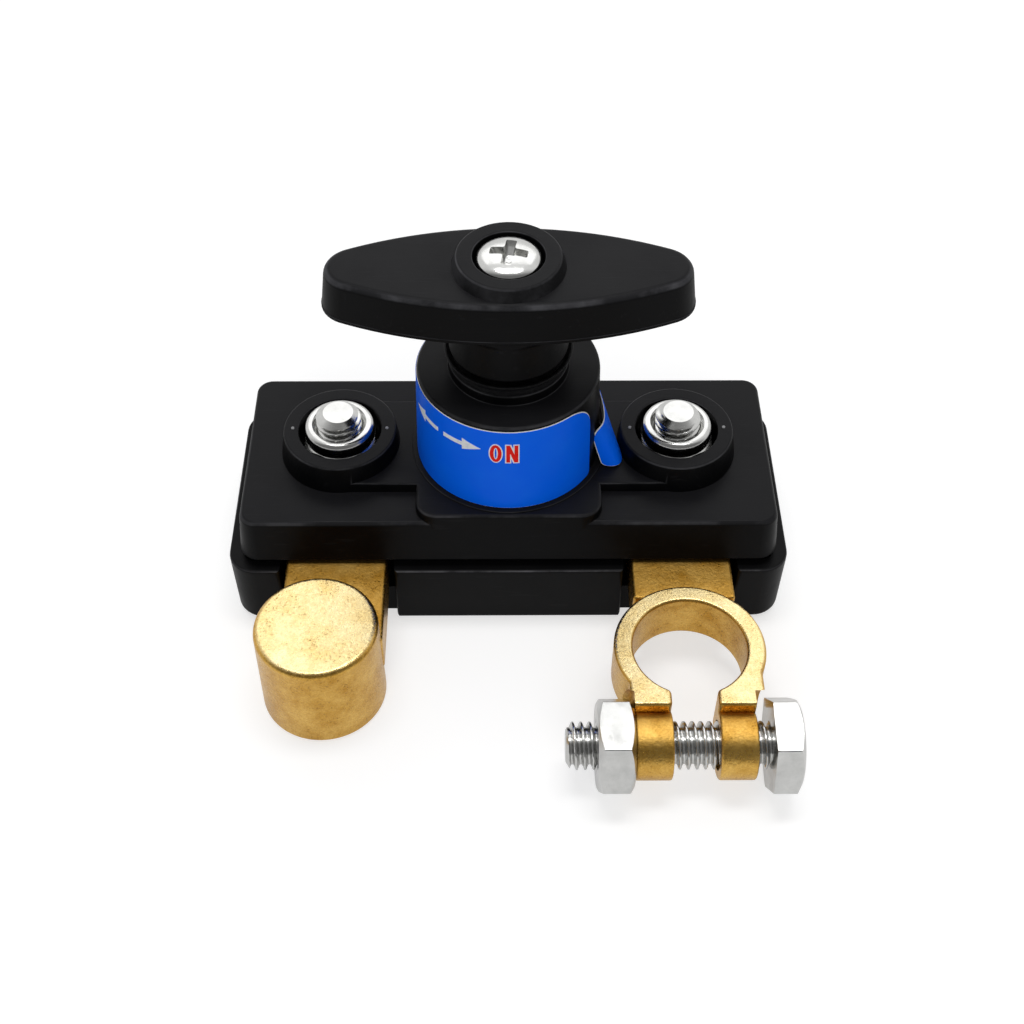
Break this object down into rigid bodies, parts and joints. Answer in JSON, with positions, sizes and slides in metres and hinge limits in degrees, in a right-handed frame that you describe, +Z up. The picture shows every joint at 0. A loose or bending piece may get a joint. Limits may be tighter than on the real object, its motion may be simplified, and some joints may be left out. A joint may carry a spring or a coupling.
{
  "type": "battery cut-off switch",
  "caption": "Moulded housing with rotary lens-shaped handle on a round tower, recessed studs, a tapered brass post and a split brass clamp with cross bolt",
  "frame": {"origin": "on the handle's axis of rotation, in the plane of the base's flat underside", "axes": "+X runs along the housing from the post's side to the clamp's side, +Y points to the back, away from the terminals, +Z is up along the handle's axis"},
  "size_m": [0.0992, 0.0809, 0.0693],
  "materials": {
    "moulded_black": "semi-gloss moulded thermoplastic with fine scuffs",
    "handle_black": "satin moulded thermoplastic",
    "spindle_black": "satin moulded thermoplastic",
    "label_blue": "blue satin vinyl with white marks",
    "terminal_brass": "cast brass, lightly pitted",
    "zinc_steel": "zinc-plated steel",
    "spring_steel": "bare spring wire",
    "silver_tip": "silver alloy contact rivet",
    "seal_rubber": "matt nitrile rubber"
  },
  "bodies": {
    "housing": {"base_housing": "moulded_black", "top_cover": "moulded_black", "label": "label_blue", "post_terminal": "terminal_brass", "clamp_terminal": "terminal_brass", "contact_tip_left": "silver_tip", "contact_tip_right": "silver_tip", "stud_left": "zinc_steel", "stud_right": "zinc_steel", "stud_washer_left": "zinc_steel", "stud_washer_right": "zinc_steel", "stud_nut_left": "zinc_steel", "stud_nut_right": "zinc_steel", "case_screw_1": "zinc_steel", "case_screw_2": "zinc_steel", "case_screw_3": "zinc_steel", "case_screw_4": "zinc_steel", "dust_seal": "seal_rubber"},
    "rotor": {"spindle": "spindle_black", "contact_bridge": "terminal_brass", "contact_spring": "spring_steel", "handle": "handle_black", "handle_screw": "zinc_steel"},
    "clamp_bolt": {"clamp_bolt": "zinc_steel"},
    "clamp_nut": {"clamp_nut": "zinc_steel"}
  },
  "joints": [
    {"name": "handle_turn", "type": "hinge", "parent": "housing", "child": "rotor", "pos_m": [0, 0, 0.058], "axis": [0, 0, 1], "range_deg": [0, 90]},
    {"name": "clamp_nut_spin", "type": "hinge", "parent": "housing", "child": "clamp_nut", "pos_m": [0.01718, -0.0524, 0.0086], "axis": [1, 0, 0], "range_deg": [-720, 540]},
    {"name": "clamp_bolt_travel", "type": "slide", "parent": "housing", "child": "clamp_bolt", "axis": [-1, 0, 0], "range_m": [-0.0029, 0.0022]}
  ],
  "couplings": [
    {"joint": "clamp_bolt_travel", "follows": "clamp_nut_spin", "m_per_rad": 0.00022459}
  ]
}
